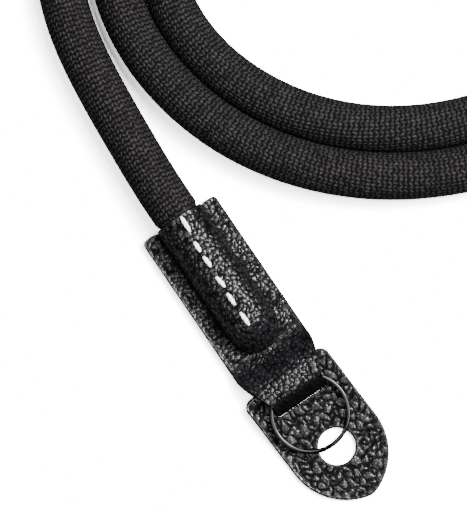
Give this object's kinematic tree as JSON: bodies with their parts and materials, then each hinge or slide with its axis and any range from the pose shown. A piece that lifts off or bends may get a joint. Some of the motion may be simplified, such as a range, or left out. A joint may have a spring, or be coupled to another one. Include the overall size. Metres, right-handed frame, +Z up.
{
  "type": "coiled rope camera strap",
  "caption": "Loosely coiled camera strap of round black braided rope, with stitched leather ends, split rings and leather lug guards.",
  "frame": {"origin": "on the table, midway between the two leather ends: the middle of their box, at its bottom", "axes": "+Z up from the table; +Y from the free leather end towards the one that lies inside the coil; +X to the right of it"},
  "size_m": [0.1611, 0.237, 0.0115],
  "materials": {
    "black_braid": "matt braided cord",
    "black_leather": "pebbled, half gloss",
    "black_nickel": "polished black nickel",
    "white_thread": "twisted thread of the stitches"
  },
  "bodies": {
    "root": {"rope": "black_braid", "end_tab_a": "black_leather", "end_tab_b": "black_leather", "lug_guard_a": "black_leather", "lug_guard_b": "black_leather", "split_ring_a": "black_nickel", "split_ring_b": "black_nickel"}
  },
  "joints": []
}
